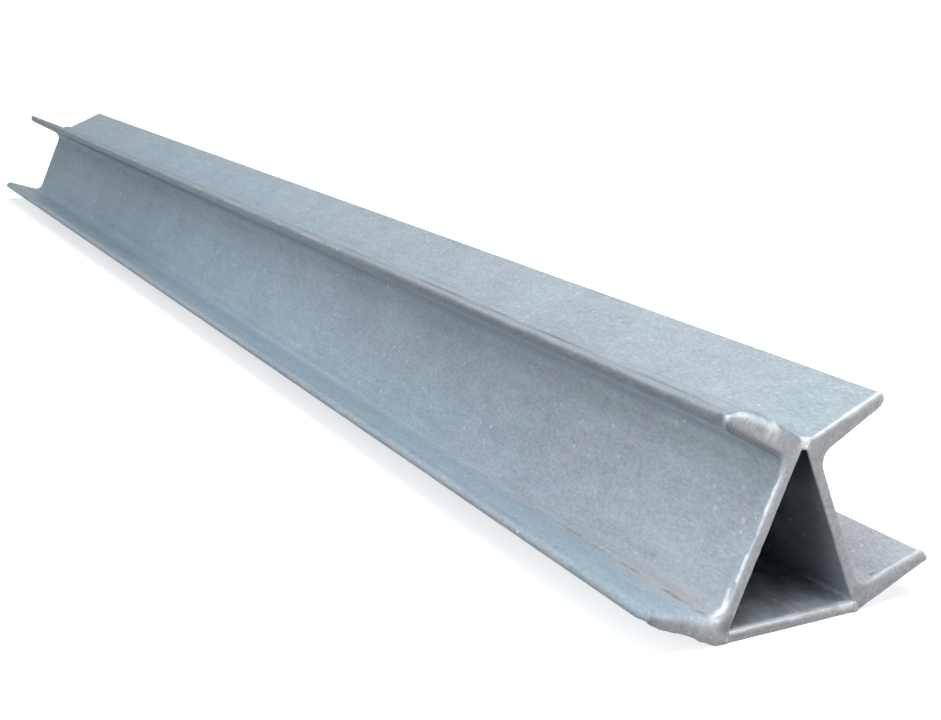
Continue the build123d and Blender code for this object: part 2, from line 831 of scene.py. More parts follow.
def new_group(name: str, inputs: dict[str, float | None],
              outputs: list[str]) -> tuple[NodeSketch, bpy.types.Node, bpy.types.Node]:
    """Starts a shader node group whose outputs are values.

    Args:
        name: The group's name.
        inputs: Each input's name and value. None marks a vector.
        outputs: Each output's name.

    Returns:
        The group's sketch, its input node and its output node.
    """
    tree = bpy.data.node_groups.new(name, "ShaderNodeTree")
    for label, value in inputs.items():
        kind = "NodeSocketVector" if value is None else "NodeSocketFloat"
        socket = tree.interface.new_socket(name=label, in_out="INPUT", socket_type=kind)
        if value is not None:
            socket.default_value = value
    for label in outputs:
        tree.interface.new_socket(name=label, in_out="OUTPUT", socket_type="NodeSocketFloat")
    sketch = NodeSketch(tree)
    return sketch, sketch.node("NodeGroupInput"), sketch.node("NodeGroupOutput")


def zinc_coat_group() -> bpy.types.NodeTree:
    """Builds the mottled tone of a dull zinc coat.

    Returns:
        A group that puts out the tone, the drift of its hue and a height for bump.
    """
    sketch, given, result = new_group(
        "Zinc coat",
        {"Vector": None, "Cloud Size": 0.05, "Mottle Size": 0.006, "Grain Size": 0.0014, "Cloud": 0.6,
         "Mottle": 1.0, "Grain": 1.1, "Drawn": 0.35},
        ["Tone", "Hue", "Height"],
    )
    vector = given.outputs["Vector"]
    cloud = sketch.noise(vector, given.outputs["Cloud Size"], 3.0)
    rolled = sketch.node("ShaderNodeMapping", {}, {"Vector": vector, "Scale": (1.0, 0.4, 1.0)}).outputs[0]
    mottle = sketch.noise(rolled, given.outputs["Mottle Size"], 3.0)
    grain = sketch.noise(rolled, given.outputs["Grain Size"], 2.0, 0.7)
    stretched = sketch.node("ShaderNodeMapping", {}, {"Vector": vector, "Scale": (1.0, 0.06, 1.0)})
    drawn = sketch.noise(stretched.outputs[0], 0.005, 2.0)
    total: bpy.types.NodeSocket | float = 0.5
    for part, share in ((cloud, "Cloud"), (mottle, "Mottle"), (grain, "Grain"), (drawn, "Drawn")):
        centred = sketch.math("SUBTRACT", part, 0.5)
        total = sketch.math("ADD", sketch.math("MULTIPLY", centred, given.outputs[share]), total)
    hue = sketch.noise(sketch.moved(vector, (3.1, 1.7, 5.3)), given.outputs["Cloud Size"], 4.0, 0.6)
    height = sketch.math("ADD", sketch.math("MULTIPLY", mottle, 0.6), sketch.math("MULTIPLY", grain, 0.4))
    tone = sketch.ramp(total, 0.0, 1.0)
    for label, socket in (("Tone", tone), ("Hue", sketch.ramp(hue, 0.34, 0.66)), ("Height", height)):
        sketch.tree.links.new(socket, result.inputs[label])
    return sketch.tree


def zinc_specks_group() -> bpy.types.NodeTree:
    """Builds scattered pale specks, gathered in patches.

    Returns:
        A group that puts out a mask of the specks.
    """
    sketch, given, result = new_group(
        "Zinc specks",
        {"Vector": None, "Spacing": 0.007, "Size": 0.24, "Share": 0.5, "Patch Size": 0.03},
        ["Mask"],
    )
    vector = given.outputs["Vector"]
    scale = sketch.math("DIVIDE", 1.0, given.outputs["Spacing"])
    cells = sketch.node("ShaderNodeTexVoronoi", {}, {"Vector": vector, "Scale": scale})
    split = sketch.node("ShaderNodeSeparateColor", {}, {0: cells.outputs["Color"]})
    size = sketch.math("MULTIPLY", given.outputs["Size"], sketch.ramp(split.outputs[1], 0.0, 1.0, 0.35, 1.0))
    share_out = sketch.math("DIVIDE", cells.outputs["Distance"], size)
    inside = sketch.ramp(share_out, 0.25, 1.0, 1.0, 0.0)
    patch = sketch.noise(sketch.moved(vector, (7.7, 2.9, 1.3)), given.outputs["Patch Size"], 2.0)
    share = sketch.math("MULTIPLY", given.outputs["Share"], sketch.ramp(patch, 0.4, 0.7, 0.15, 2.0))
    chosen = sketch.math("LESS_THAN", split.outputs[0], share)
    strength = sketch.math("MULTIPLY", chosen, sketch.ramp(split.outputs[2], 0.2, 1.0, 0.3, 1.0))
    sketch.tree.links.new(sketch.math("MULTIPLY", inside, strength), result.inputs["Mask"])
    return sketch.tree


def shared(name: str, build: Callable[[], bpy.types.NodeTree]) -> bpy.types.NodeTree:
    """Finds a node tree by its name, or builds it."""
    return bpy.data.node_groups.get(name) or build()


@dataclass(frozen=True)
class ZincFinish:
    """A zinc finish and its material.

    Fields:
        name: The material's name.
        dark: The coat's darkest colour.
        light: The coat's lightest colour.
        teal: What the hue drifts to on one side, as a tint.
        lilac: What the hue drifts to on the other side, as a tint.
        blue: The blue tint, partly the coat's own hue and partly a painted reflection of the sky.
        warm: The tint of the warmer places.
        bright: The colour of fresh, smooth zinc on lips and specks; on the lips it also stands for a painted
            highlight.
        bare: The colour of a cut end face.
        tan: The colour of the stain's smears.
        brown: The colour of the stain's thin line.
        dark_marks_and_shade: The colour of the darkest places, both dark marks and painted shade.
        metallic: How metallic it is.
        dull: The coat's roughness.
        smooth: The roughness of fresh zinc.
        cloud, mottle, grain, drawn: How much each size of pattern shows.
        speck_share: How many of the places for a speck have one.
        near_painted_light: Painted light at the near end, lighter where the lamps fall.
        far_painted_shade: Painted shade at the far end, darker and a little bluer.
        bump: How far the fine relief stands out.
    """

    name: str
    dark: Colour = (0.32, 0.36, 0.39)
    light: Colour = (0.54, 0.59, 0.63)
    teal: Colour = (0.95, 1.0, 1.0)
    lilac: Colour = (1.0, 0.98, 1.02)
    blue: Colour = (0.83, 0.96, 1.07)
    warm: Colour = (1.07, 0.99, 0.96)
    bright: Colour = (0.82, 0.86, 0.90)
    bare: Colour = (0.46, 0.475, 0.50)
    tan: Colour = (0.56, 0.49, 0.45)
    brown: Colour = (0.20, 0.16, 0.15)
    dark_marks_and_shade: Colour = (0.035, 0.043, 0.052)
    metallic: float = 0.2
    dull: float = 0.56
    smooth: float = 0.34
    cloud: float = 0.5
    mottle: float = 0.65
    grain: float = 1.6
    drawn: float = 0.3
    speck_share: float = 0.8
    near_painted_light: Colour = (1.15, 1.14, 1.14)
    far_painted_shade: Colour = (0.885, 0.97, 1.02)
    bump: float = 0.00005

    def _tone(self, sketch: NodeSketch, coat: bpy.types.Node,
              place: bpy.types.NodeSocket) -> bpy.types.NodeSocket:
        """Colours the plain coat.

        Args:
            sketch: The material's tree.
            coat: The zinc coat group.
            place: The place on the piece.

        Returns:
            The coat's colour.
        """
        colour = sketch.blend(coat.outputs["Tone"], (*self.dark, 1), (*self.light, 1))
        tint = sketch.blend(coat.outputs["Hue"], (*self.teal, 1), (*self.lilac, 1))
        colour = sketch.blend(1.0, colour, tint, "MULTIPLY")
        # Painted light toward the near end and painted shade toward the far end.
        along = sketch.node("ShaderNodeSeparateXYZ", {}, {0: place}).outputs["Y"]
        near = sketch.ramp(along, -0.74, -0.30, 1.0, 0.0)
        colour = sketch.blend(near, colour, (*self.near_painted_light, 1), "MULTIPLY")
        far = sketch.ramp(along, -0.40, 0.20)
        return sketch.blend(far, colour, (*self.far_painted_shade, 1), "MULTIPLY")

    def _painted_light_and_shade(self, sketch: NodeSketch, colour: bpy.types.NodeSocket,
                   layers: dict[Layer, bpy.types.NodeSocket]) -> bpy.types.NodeSocket:
        """Paints light and shade into a colour where the mesh says so.

        Args:
            sketch: The material's tree.
            colour: The colour.
            layers: The mesh's values.

        Returns:
            The changed colour.
        """
        gain = sketch.math("MULTIPLY", sketch.ramp(layers[Layer.PALE], 0.0, 1.0, 1.0, 1.0 + PALE_GAIN),
                           sketch.ramp(layers[Layer.DIM], 0.0, 1.0, 1.0, 0.0))
        grey = sketch.node("ShaderNodeCombineXYZ", {}, {0: gain, 1: gain, 2: gain}).outputs[0]
        return sketch.blend(1.0, colour, grey, "MULTIPLY")

    def _marks(self, sketch: NodeSketch, colour: bpy.types.NodeSocket, place: bpy.types.NodeSocket,
               layers: dict[Layer, bpy.types.NodeSocket]) -> bpy.types.NodeSocket:
        """Adds the blue tint, partly a painted reflection of the sky, the warmer places, the cut ends, the
        stain, and the dark marks and painted shade.

        Args:
            sketch: The material's tree.
            colour: The coat's colour.
            place: The place on the piece.
            layers: The mesh's values.

        Returns:
            The marked colour.
        """
        # Blue tint, partly a painted reflection of the sky.
        blue_tint = sketch.math("MULTIPLY", layers[Layer.BLUE], sketch.ramp(
            sketch.noise(place, 0.011, 3.0), 0.35, 0.6, 0.45, 1.0))
        colour = sketch.blend(blue_tint, colour, (*self.blue, 1), "MULTIPLY")
        colour = sketch.blend(layers[Layer.WARM], colour, (*self.warm, 1), "MULTIPLY")
        rough = sketch.ramp(sketch.noise(place, 0.002, 3.0), 0.3, 0.7, 0.82, 1.15)
        rough = sketch.node("ShaderNodeCombineXYZ", {}, {0: rough, 1: rough, 2: rough}).outputs[0]
        face = sketch.blend(1.0, (*self.bare, 1), rough, "MULTIPLY")
        colour = sketch.blend(layers[Layer.CUT], colour, face)
        smear = sketch.ramp(sketch.noise(place, 0.012, 4.0, 0.7), 0.34, 0.60, 0.0, 0.7)
        colour = sketch.blend(sketch.math("MULTIPLY", layers[Layer.STAIN], smear), colour, (*self.tan, 1))
        crack = sketch.math("MULTIPLY", self._crack(sketch, layers[Layer.ACROSS], place), layers[Layer.STAIN])
        colour = sketch.blend(crack, colour, (*self.brown, 1))
        # Dark marks and painted shade.
        return sketch.blend(layers[Layer.DARK_MARKS_AND_SHADE], colour, (*self.dark_marks_and_shade, 1))

    def _crack(self, sketch: NodeSketch, across: bpy.types.NodeSocket,
               place: bpy.types.NodeSocket) -> bpy.types.NodeSocket:
        """Finds the stain's thin, broken line, which strays as it runs along the bottom flange.

        Args:
            sketch: The material's tree.
            across: The distance out along the flange, as a share of its width.
            place: The place on the piece.

        Returns:
            A mask of the line.
        """
        flange = SECTION.flange / MM
        middle, half_width, wander = 13.6 / flange, 3.0 / flange, 6.0 / flange
        stray = sketch.noise(sketch.moved(place, (0.2, 5.0, 9.0)), 0.015, 4.0, 0.6)
        stray = sketch.math("MULTIPLY", sketch.math("SUBTRACT", stray, 0.5), wander)
        away = sketch.math("SUBTRACT", sketch.math("ADD", across, stray), middle)
        line = sketch.ramp(sketch.math("ABSOLUTE", away), half_width * 0.25, half_width, 1.0, 0.0)
        broken = sketch.ramp(sketch.noise(sketch.moved(place, (2.0, 4.0, 1.0)), 0.014, 4.0, 0.7), 0.42, 0.60)
        return sketch.math("MULTIPLY", line, sketch.math("MULTIPLY", broken, 0.7))

    def material(self) -> bpy.types.Material:
        """Builds the material, or returns it if it is there already.

        Returns:
            The finish's material.
        """
        found = bpy.data.materials.get(self.name)
        if found is not None:
            return found
        made = bpy.data.materials.new(self.name)
        made.use_nodes = True
        made.node_tree.nodes.clear()
        sketch = NodeSketch(made.node_tree)
        place = sketch.node("ShaderNodeTexCoord").outputs["Object"]
        coat = sketch.node("ShaderNodeGroup", {"node_tree": shared("Zinc coat", zinc_coat_group)}, {
            "Vector": place, "Cloud": self.cloud, "Mottle": self.mottle, "Grain": self.grain,
            "Drawn": self.drawn})
        specks = sketch.node("ShaderNodeGroup", {"node_tree": shared("Zinc specks", zinc_specks_group)}, {
            "Vector": place, "Share": self.speck_share})
        layers = {layer: sketch.node("ShaderNodeAttribute", {"attribute_name": layer.value}).outputs["Fac"]
                  for layer in Layer}
        colour = self._marks(sketch, self._tone(sketch, coat, place), place, layers)
        # Shine: smoother, lighter zinc, partly a painted highlight.
        patchy = sketch.ramp(sketch.noise(place, 0.0035, 3.0), 0.3, 0.55, 0.72, 1.0)
        shine = sketch.math("MULTIPLY", layers[Layer.SHINE], patchy)
        lit = sketch.math("MAXIMUM", shine, sketch.math("MULTIPLY", specks.outputs["Mask"], 0.9))
        colour = sketch.blend(lit, colour, (*self.bright, 1))
        colour = self._painted_light_and_shade(sketch, colour, layers)
        roughness = sketch.ramp(coat.outputs["Tone"], 0.0, 1.0, self.dull + 0.06, self.dull - 0.06)
        roughness = sketch.math("SUBTRACT", roughness, sketch.math("MULTIPLY", lit, self.dull - self.smooth))
        bump = sketch.node("ShaderNodeBump", {}, {"Strength": 1.0, "Distance": self.bump,
                                                  "Height": coat.outputs["Height"]})
        shader = sketch.node("ShaderNodeBsdfPrincipled", {}, {
            "Base Color": colour, "Metallic": self.metallic, "Roughness": roughness,
            "Normal": bump.outputs[0]})
        output = sketch.node("ShaderNodeOutputMaterial")
        made.node_tree.links.new(shader.outputs[0], output.inputs["Surface"])
        return made


ROLLED_ZINC = ZincFinish(name="Dull zinc on rolled steel")
BAR_ZINC_COAT = ZincFinish(name="Dull zinc on the bar", mottle=1.5, grain=1.3)
WELD_ZINC = ZincFinish(name="Zinc on weld beads", dark=(0.33, 0.37, 0.40), light=(0.54, 0.59, 0.63),
                       metallic=0.25, dull=0.47, smooth=0.28, near_painted_light=(1.1, 1.1, 1.1))
PIMPLE_ZINC = ZincFinish(name="Zinc pimples", dark=(0.66, 0.70, 0.73), light=(0.80, 0.84, 0.87),
                         metallic=0.25, dull=0.42, smooth=0.3, speck_share=0.0,
                         near_painted_light=(1.0, 1.0, 1.0), far_painted_shade=(0.92, 0.97, 1.0), bump=0.00001)


def geometry_tree(name: str, inputs: dict[str, str]) -> tuple[NodeSketch, bpy.types.Node, bpy.types.Node]:
    """Starts a Geometry Nodes tree.

    Args:
        name: The tree's name.
        inputs: Each input's name and socket type, past the geometry.

    Returns:
        The tree's sketch, its input node and its output node.
    """
    tree = bpy.data.node_groups.new(name, "GeometryNodeTree")
    tree.interface.new_socket(name="Geometry", in_out="INPUT", socket_type="NodeSocketGeometry")
    for label, kind in inputs.items():
        tree.interface.new_socket(name=label, in_out="INPUT", socket_type=kind)
    tree.interface.new_socket(name="Geometry", in_out="OUTPUT", socket_type="NodeSocketGeometry")
    sketch = NodeSketch(tree)
    return sketch, sketch.node("NodeGroupInput"), sketch.node("NodeGroupOutput")


def close_tree(sketch: NodeSketch, shape: bpy.types.NodeSocket, given: bpy.types.Node,
               result: bpy.types.Node) -> bpy.types.NodeTree:
    """Ends a Geometry Nodes tree: real meshes, smooth, in one material.

    Args:
        sketch: The tree's sketch.
        shape: The geometry that it made.
        given: The tree's input node, which has a Material.
        result: The tree's output node.

    Returns:
        The finished tree.
    """
    smooth = sketch.node("GeometryNodeSetShadeSmooth", {}, {"Geometry": shape})
    real = sketch.node("GeometryNodeRealizeInstances", {}, {"Geometry": smooth.outputs[0]})
    dressed = sketch.node("GeometryNodeSetMaterial", {}, {
        "Geometry": real.outputs[0], "Material": given.outputs["Material"]})
    sketch.tree.links.new(dressed.outputs[0], result.inputs["Geometry"])
    return sketch.tree


def bead_ripple_tree() -> bpy.types.NodeTree:
    """Builds the tree that works ripples into a weld bead's surface.

    The ripples follow the bead along Y. Each is bowed, as the weld pool was, and lies over the one before.

    Returns:
        The tree.
    """
    sketch, given, result = geometry_tree("Weld bead ripples", {
        "Pitch": "NodeSocketFloat", "Rise": "NodeSocketFloat", "Bow": "NodeSocketFloat",
        "Waver": "NodeSocketFloat", "Seed": "NodeSocketFloat", "Material": "NodeSocketMaterial"})
    place = sketch.node("GeometryNodeInputPosition").outputs[0]
    normal = sketch.node("GeometryNodeInputNormal").outputs[0]
    split = sketch.node("ShaderNodeSeparateXYZ", {}, {0: place})
    seed = sketch.node("ShaderNodeCombineXYZ", {}, {0: given.outputs["Seed"]}).outputs[0]
    spot = sketch.node("ShaderNodeVectorMath", {"operation": "ADD"}, {0: place, 1: seed}).outputs[0]
    squared = sketch.math("MULTIPLY", split.outputs["X"], split.outputs["X"])
    bowed = sketch.math("ADD", split.outputs["Y"], sketch.math("MULTIPLY", squared, given.outputs["Bow"]))
    drift = sketch.math("MULTIPLY", sketch.noise(spot, 0.012, 2.0), given.outputs["Waver"])
    travel = sketch.math("DIVIDE", bowed, given.outputs["Pitch"])
    phase = sketch.math("FRACT", sketch.math("ADD", travel, drift))
    centred = sketch.math("SUBTRACT", sketch.math("MULTIPLY", phase, 2.0), 1.0)
    scallop = sketch.math("MULTIPLY", sketch.math("POWER", sketch.math("ABSOLUTE", centred), 2.5), -1.0)
    lumps = sketch.math("SUBTRACT", sketch.noise(spot, 0.005, 2.0), 0.6)
    height = sketch.math("MULTIPLY", sketch.math("ADD", scallop, lumps), given.outputs["Rise"])
    bead = sketch.node("GeometryNodeInputNamedAttribute", {"data_type": "FLOAT"}, {"Name": Layer.BEAD.value})
    height = sketch.math("MULTIPLY", height, bead.outputs["Attribute"])
    offset = sketch.node("ShaderNodeVectorMath", {"operation": "SCALE"}, {0: normal, "Scale": height})
    moved = sketch.node("GeometryNodeSetPosition", {}, {
        "Geometry": given.outputs["Geometry"], "Offset": offset.outputs[0]})
    return close_tree(sketch, moved.outputs[0], given, result)


def pimple_tree() -> bpy.types.NodeTree:
    """Builds the tree that scatters small zinc pimples over a surface.

    Returns:
        The tree. It puts out the pimples without the surface.
    """
    sketch, given, result = geometry_tree("Zinc pimples", {
        "Density": "NodeSocketFloat", "Smallest": "NodeSocketFloat", "Largest": "NodeSocketFloat",
        "Flatness": "NodeSocketFloat", "Seed": "NodeSocketInt", "Material": "NodeSocketMaterial"})
    wanted = sketch.node("GeometryNodeInputNamedAttribute", {"data_type": "FLOAT"}, {
        "Name": Layer.PIMPLES.value})
    density = sketch.math("MULTIPLY", wanted.outputs["Attribute"], given.outputs["Density"])
    spots = sketch.node("GeometryNodeDistributePointsOnFaces", {"distribute_method": "RANDOM"}, {
        "Mesh": given.outputs["Geometry"], "Density": density, "Seed": given.outputs["Seed"]})
    ball = sketch.node("GeometryNodeMeshUVSphere", {}, {"Segments": 8, "Rings": 4, "Radius": 1.0})
    squash = sketch.node("ShaderNodeCombineXYZ", {}, {0: 1.0, 1: 1.0, 2: given.outputs["Flatness"]})
    dome = sketch.node("GeometryNodeTransform", {}, {"Geometry": ball.outputs[0], "Scale": squash.outputs[0]})
    size = sketch.node("FunctionNodeRandomValue", {"data_type": "FLOAT"}, {
        2: given.outputs["Smallest"], 3: given.outputs["Largest"], "Seed": given.outputs["Seed"]})
    scattered = sketch.node("GeometryNodeInstanceOnPoints", {}, {
        "Points": spots.outputs["Points"], "Instance": dome.outputs[0], "Rotation": spots.outputs["Rotation"],
        "Scale": size.outputs[1]})
    return close_tree(sketch, scattered.outputs[0], given, result)


def run_tree(host: bpy.types.Object, tree: bpy.types.NodeTree, values: dict[str, object]) -> None:
    """Runs a Geometry Nodes tree on an object and keeps the result as the object's plain mesh.

    Args:
        host: The object.
        tree: The tree.
        values: The tree's inputs, by name.
    """
    modifier = host.modifiers.new(tree.name, "NODES")
    modifier.node_group = tree
    for item in tree.interface.items_tree:
        if item.in_out == "INPUT" and item.name in values:
            modifier[item.identifier] = values[item.name]
    graph = bpy.context.evaluated_depsgraph_get()
    made = bpy.data.meshes.new_from_object(host.evaluated_get(graph), preserve_all_data_layers=True,
                                           depsgraph=graph)
    host.modifiers.remove(modifier)
    before = host.data
    host.data = made
    bpy.data.meshes.remove(before)


def settle(piece: bpy.types.Object, slot: Slot, *nodes: str) -> None:
    """Hands a finished piece to the frame.

    Args:
        piece: The piece.
        slot: The record's material slot for the piece. Not used.
        nodes: The frame's nodes that it stands for.
    """
    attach(piece, BODY)
    if nodes:
        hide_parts(*nodes)


@dataclass
class SteelPiece:
    """A long piece of the post under its zinc.

    Fields:
        name: The frame's node that it stands for.
        zinc: The runs, lips, lumps and marks on it.
        near_inset: How far its end face stands back from the box, so that the zinc has room.
        far_inset: The same at the far end.
        end_rounding: The radius of its end edges.
        step: How far apart the points of its section are.
        finish: Its finish.
        slot: The record's material slot that belongs to it.
        seed: Picks the unevenness of its coat.
    """

    name: str
    zinc: tuple[ZincRun, ...] = ()
    near_inset: float = 1.2 * MM
    far_inset: float = 0.7 * MM
    end_rounding: float = 0.7 * MM
    step: float = 2.0 * MM
    finish: ZincFinish = ROLLED_ZINC
    slot: Slot = Slot.STEEL
    seed: int = 1

    def outline(self) -> np.ndarray:
        """The piece's section in the frame, counter-clockwise from the near end."""
        raise NotImplementedError

    def section_place(self, points: np.ndarray) -> tuple[np.ndarray, np.ndarray]:
        """Where points are in the piece's own section.

        Args:
            points: Points in the frame.

        Returns:
            The distances across the section and up it.
        """
        return points[:, 0], points[:, 2]

    def grid(self) -> Grid:
        """Draws the section out along the post."""
        low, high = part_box(self.name)
        near, far = low.y + self.near_inset, high.y - self.far_inset
        shares = stations(far - near, 0.85 * MM, 8 * MM, 14 * MM)
        return long_piece(self.outline(), near, far, self.end_rounding, shares, 1.2 * MM)

    def coat(self, grid: Grid) -> None:
        """Lays the zinc on: an uneven skin, lips along the end edges, and the piece's own runs and lumps.

        Args:
            grid: The piece's points, which move and take their values.
        """
        lip_width, near_reach = 0.9, 30.0
        noise = SmoothNoise(self.seed)
        wave, slow = noise.at(grid.points, 3.2 * MM), noise.at(grid.points, 21 * MM)
        near = np.exp(-np.maximum(grid.spots.inward, 0) / near_reach)
        lip = np.exp(-((grid.rim / MM - lip_width) / lip_width) ** 2) * (0.7 + 0.9 * wave)
        heights = 0.05 * slow + 0.03 * wave + lip * (0.06 + 0.12 * near)
        layers = grid.layers
        # Lips along the end edges, lightened partly as a painted highlight, most at the near end.
        layers[Layer.SHINE] += lip * (0.06 + 0.14 * near)
        layers[Layer.CUT] += fade(-grid.normals[:, 1] * near, 0.3, 0.8)
        for run in self.zinc:
            shape = run.shape(grid.spots, noise)
            heights += shape * run.height
            layers[Layer.SHINE] += shape * run.shine
            layers[Layer.STAIN] += shape * run.stain
            layers[Layer.DARK_MARKS_AND_SHADE] += shape * run.dark_marks_and_shade
        # A painted glint: the strongest shine is made paler still.
        layers[Layer.PALE] += 0.35 * fade(layers[Layer.SHINE], 0.7, 1.3)
        grid.move(heights * MM)

    def build(self) -> bpy.types.Object:
        """Builds the piece's mesh and gives it its finish.

        Returns:
            The piece's object.
        """
        grid = self.grid()
        grid.measure(*self.section_place(grid.points))
        self.coat(grid)
        grid.keep_in(*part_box(self.name))
        piece = grid.to_object(self.name)
        piece.data.materials.append(self.finish.material())
        return piece


@dataclass
class Channel(SteelPiece):
    """One rolled channel.

    Fields:
        side: The channel's side.
        section: The post's section.
        roll: The roll of zinc on its near end, if it has one.
        wear: The worn edge of its bottom flange's near end, if it has one.
        painted_shading: The light and shade painted on its coat.
        hollow_painted_shade: How much painted shade darkens the back of its web, most at the top of the
            hollow.
        recess_painted_shade: How much painted shade darkens the zinc under the top flange.
        blue: How blue the bottom flange's inner face is, partly a painted reflection of the sky.
        warm: How warm it is.
    """

    side: Side = Side.RIGHT
    section: Section = SECTION
    roll: EndRoll | None = None
    wear: EndWear | None = None
    painted_shading: PaintedShading = PaintedShading()
    hollow_painted_shade: float = 1.15
    recess_painted_shade: float = 0.24
    blue: float = 0.0
    warm: float = 0.0
    name: str = field(default="", init=False)

    def __post_init__(self) -> None:
        """Names the piece after the node that it stands for."""
        self.name = f"{self.side.name.lower()}_channel"

    def outline(self) -> np.ndarray:
        """The channel's rounded section in the frame."""
        sec = self.section
        taper = sec.slope * (sec.flange - sec.web) / 2
        half = [
            Corner(0.0, 0.0, sec.heel_radius),
            Corner(sec.flange, 0.0, sec.edge_radius),
            Corner(sec.flange, sec.flange_thickness - taper, sec.toe_radius),
            Corner(sec.web, sec.flange_thickness + taper, sec.root_radius),
        ]
        top = [Corner(c.x, sec.depth - c.y, c.radius) for c in reversed(half)]
        flat = rounded_outline(half + top, self.step)
        x, z = sec.place(flat[:, 0], flat[:, 1], self.side)
        placed = np.column_stack([x, z])
        return placed if self.side is Side.RIGHT else placed[::-1]

    def section_place(self, points: np.ndarray) -> tuple[np.ndarray, np.ndarray]:
        """Where points are in the channel's own section."""
        return self.section.unplace(points[:, 0], points[:, 2], self.side)

    @property
    def upward(self) -> np.ndarray:
        """The direction up the channel's web."""
        lean = self.section.lean
        return np.array([-self.side.value * math.sin(lean), 0.0, math.cos(lean)])

    def coat(self, grid: Grid) -> None:
        """Lays the zinc on, with the channel's toe lips, its roll, its worn edge, and its painted light and
        shade.

        Args:
            grid: The channel's points, which move and take their values.
        """
        super().coat(grid)
        near_reach = 250.0
        spots, layers = grid.spots, grid.layers
        noise = SmoothNoise(self.seed + 100)
        wave = noise.at(grid.points, 4 * MM)
        near = np.exp(-np.maximum(spots.inward, 0) / near_reach)
        self._lip_toes(grid, noise, near)
        self._tint(grid)
        # Painted light and shade over the whole channel.
        lightness = self.painted_shading.lightness(spots)
        if self.roll is not None:
            lightness *= self._roll_end(grid, self.roll, wave)
        if self.wear is not None:
            lightness *= self._wear_end(grid, self.wear, wave)
        self._darken(grid, noise)
        layers[Layer.ACROSS] += spots.out * MM / self.section.flange
        # The lightness goes on as painted light and painted shade.
        layers[Layer.PALE] += np.maximum(lightness - 1, 0) / PALE_GAIN
        layers[Layer.DIM] += 1 - lightness
        inside = (spots.out > self.section.web / MM - 0.5) * (grid.rim > 2 * MM)
        patches = np.clip(0.4 + 1.2 * noise.at(grid.points, 35 * MM), 0, 1)
        layers[Layer.PIMPLES] += (fade(spots.rise, 97, 99) + 0.6 * inside) * (0.1 + 0.9 * near) * patches

    def _lip_toes(self, grid: Grid, noise: SmoothNoise, near: np.ndarray) -> None:
        """Lays a thin, drawn-out lip along the toes, and brightens the upper edge of the top one with a
        painted highlight.

        Args:
            grid: The channel's points.
            noise: Makes the lip uneven.
            near: How close to the near end each point is, from 0 to 1.
        """
        spots = grid.spots
        drawn = noise.at(grid.points * np.array([1, 0.25, 1]), 5 * MM)
        toe = np.exp(-((spots.out - self.section.flange / MM) / 2.0) ** 2)
        grid.move(toe * 0.08 * MM * (0.1 + drawn))
        on_lip = (spots.rise > 98.6) & (spots.rise < 99.9)
        grid.layers[Layer.SHINE] += toe * on_lip * np.clip(0.4 * drawn + 0.1 * near, 0, 1)

    def _tint(self, grid: Grid) -> None:
        """Tints the bottom flange's inner face and the web's blue, partly as a painted reflection of the sky,
        and warms the ledge.

        Args:
            grid: The channel's points.
        """
        spots = grid.spots
        ledge = fade(spots.rise, 15, 11) * fade(spots.rise, 1.5, 3.5) * (spots.out > 6)
        toward_toe = 0.35 + 0.65 * fade(spots.out, 20, 34)
        web_face = (spots.out > 5) * (spots.out < 9) * fade(spots.rise, 12, 20)
        grid.layers[Layer.BLUE] += ledge * self.blue * toward_toe * fade(spots.inward, 1200, 200)
        grid.layers[Layer.BLUE] += 0.35 * web_face * fade(spots.inward, 120, 260)
        grid.layers[Layer.WARM] += ledge * self.warm

    def _roll_end(self, grid: Grid, roll: EndRoll, wave: np.ndarray) -> np.ndarray:
        """Raises the roll of zinc along the top flange's end, paints a highlight on its crest and a shadow
        line behind it, and paints shade on the strip under its end face.

        Args:
            grid: The channel's points.
            roll: The roll.
            wave: Makes it uneven.

        Returns:
            How much painted light or shade each point gets, as a factor.
        """
        spots, layers = grid.spots, grid.layers
        smooth = roll.lift(spots)
        lift = smooth * (1 + 0.1 * wave)
        front = fade(spots.inward, 1.5, 0.3)
        ribbon = front * fade(spots.rise + smooth - roll.top, 0.4, 1.8)
        contour = fade(spots.rise, 98.2, 99.4) * fade(spots.inward, 6, 4)
        contour *= fade(spots.rise + lift - roll.top, 0.5, 1.5)
        hem = roll.shaded(spots, smooth) * front
        grid.move(lift * MM, self.upward)
        grid.move(roll.lean(spots, lift) * MM, INTO)
        layers[Layer.CUT] *= (1 - ribbon) * (1 - 0.6 * hem)
        # Painted highlight along the roll's crest.
        layers[Layer.SHINE] += 0.65 * ribbon * (1 - contour) * fade(spots.out, 12, 20)
        layers[Layer.BLUE] += 0.5 * ribbon + 0.6 * hem
        # Painted shadow line behind the crest.
        layers[Layer.DARK_MARKS_AND_SHADE] += 0.42 * contour
        # Painted shade on the strip under the end face, and painted light on the end face above it.
        plain_end = front * (1 - hem) * (spots.rise > roll.top / 2)
        return (1 - 0.54 * hem) * (1 + 0.09 * plain_end)

    def _wear_end(self, grid: Grid, wear: EndWear, wave: np.ndarray) -> np.ndarray:
        """Rounds the worn edge of the bottom flange's end, and shades the face under it.

        Args:
            grid: The channel's points.
            wear: The worn edge.
            wave: Makes the shade uneven.

        Returns:
            How much darker each point gets, as a factor.
        """
        spots = grid.spots
        back, raised = wear.shift(spots, self.section)
        grid.move(back * MM, INTO)
        grid.move(raised * MM, self.upward)
        worn = fade(back, 0.1, 0.9)
        toe_end = fade(spots.out, 38, 47) * (spots.rise < 20)
        grid.layers[Layer.CUT] *= (1 - worn) * (1 - 0.7 * toe_end)
        flat_end = fade(spots.inward, 1.5, 0.3) * (1 - 0.85 * worn) * fade(spots.rise, 16, 10)
        return 1 - wear.shade * flat_end * (1 + 0.5 * wave)

